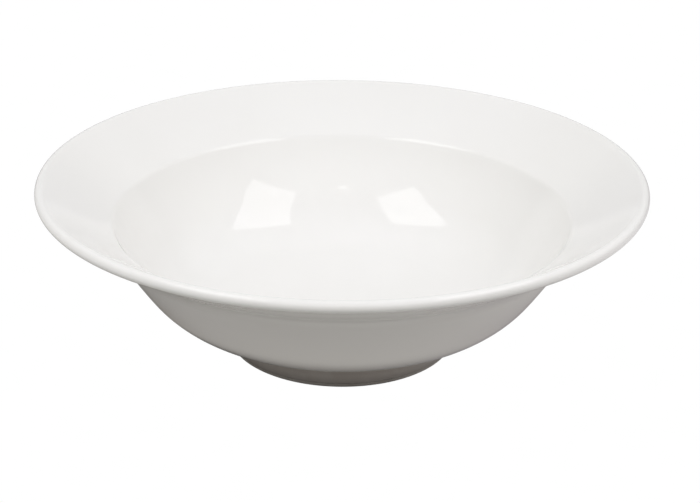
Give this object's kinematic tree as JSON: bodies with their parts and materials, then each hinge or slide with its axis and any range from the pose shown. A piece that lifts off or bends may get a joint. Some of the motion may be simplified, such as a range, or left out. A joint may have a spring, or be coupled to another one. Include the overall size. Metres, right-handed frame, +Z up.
{
  "type": "pasta bowl",
  "caption": "Deep white glazed pasta bowl with a broad sloping flange, a rounded lip, a steep rounded well and a foot ring.",
  "frame": {"origin": "centre of the foot ring, on the table it stands on", "axes": "+Z up along the bowl's axis; the bowl is round, so X and Y are free, and -Y is taken as the front"},
  "size_m": [0.28, 0.28, 0.0833],
  "materials": {
    "clay": "bare fired clay, matte, greyed where it stands",
    "glaze": "clear glossy glaze on a slightly warm white body"
  },
  "bodies": {
    "root": {"porcelain_body": "clay", "glaze_coat": "glaze", "base_glaze": "glaze"}
  },
  "joints": []
}
